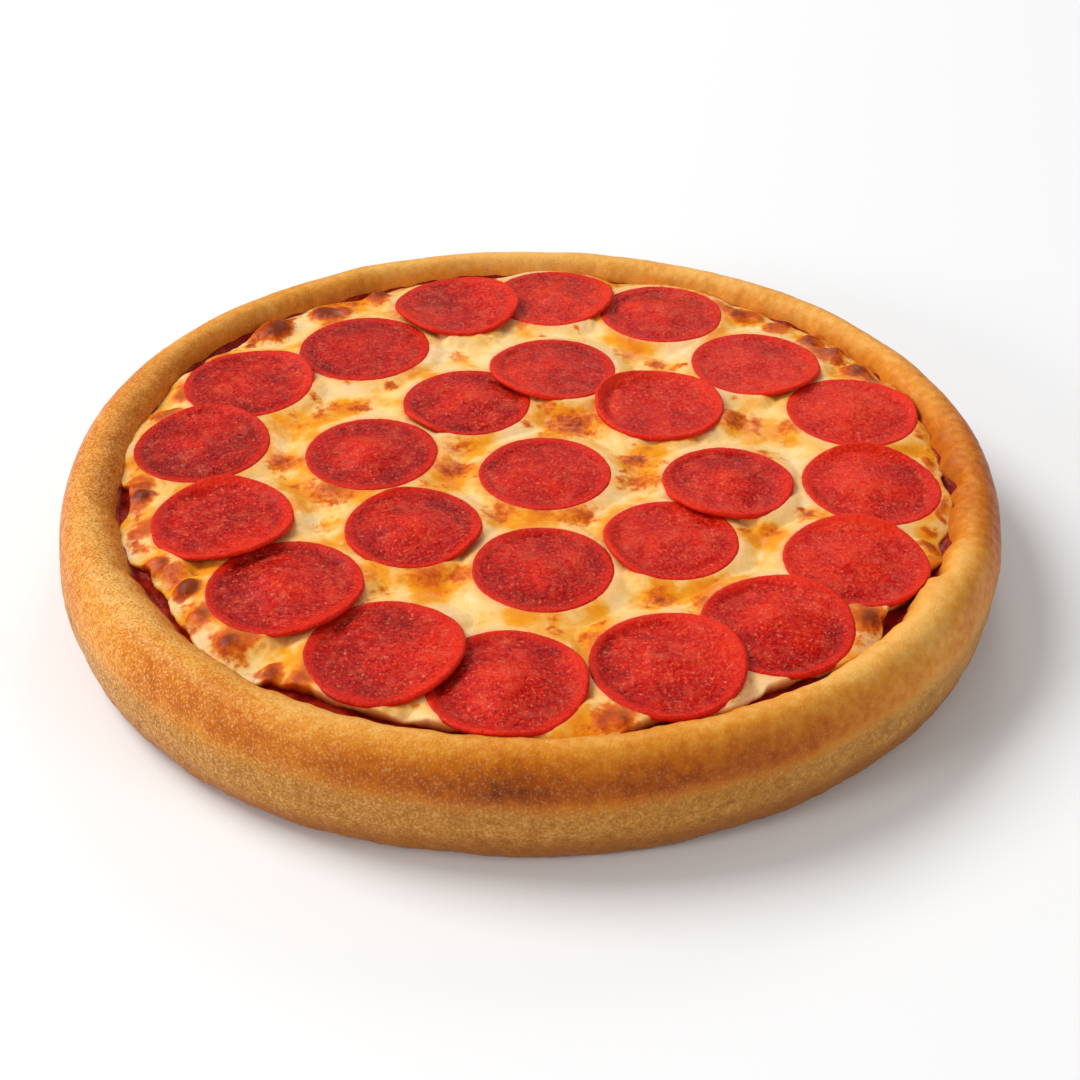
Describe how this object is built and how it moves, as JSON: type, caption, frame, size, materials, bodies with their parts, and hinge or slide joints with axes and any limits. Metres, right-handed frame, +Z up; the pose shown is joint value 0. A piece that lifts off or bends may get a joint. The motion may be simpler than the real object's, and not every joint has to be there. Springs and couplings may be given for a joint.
{
  "type": "pepperoni pizza",
  "caption": "Whole round thick-crust pizza: a deep dough slab with a raised rim, sauce, melted cheese and overlapping pepperoni slices laid in rings.",
  "frame": {"origin": "middle of the underside, on the surface that the pizza rests on", "axes": "+Z up through the pizza's thickness; -Y is the side nearest the viewer in the picture and +X is to the right"},
  "size_m": [0.2988, 0.2996, 0.0383],
  "materials": {
    "crust": "baked dough, matt",
    "sauce": "wet, glossy",
    "cheese": "melted, satin",
    "pepperoni": "greasy, satin"
  },
  "bodies": {
    "root": {"crust": "crust", "sauce": "sauce", "cheese": "cheese", "pepperoni_01": "pepperoni", "pepperoni_02": "pepperoni", "pepperoni_03": "pepperoni", "pepperoni_04": "pepperoni", "pepperoni_05": "pepperoni", "pepperoni_06": "pepperoni", "pepperoni_07": "pepperoni", "pepperoni_08": "pepperoni", "pepperoni_09": "pepperoni", "pepperoni_10": "pepperoni", "pepperoni_11": "pepperoni", "pepperoni_12": "pepperoni", "pepperoni_13": "pepperoni", "pepperoni_14": "pepperoni", "pepperoni_15": "pepperoni", "pepperoni_16": "pepperoni", "pepperoni_17": "pepperoni", "pepperoni_18": "pepperoni", "pepperoni_19": "pepperoni", "pepperoni_20": "pepperoni", "pepperoni_21": "pepperoni", "pepperoni_22": "pepperoni", "pepperoni_23": "pepperoni", "pepperoni_24": "pepperoni", "pepperoni_25": "pepperoni"}
  },
  "joints": []
}
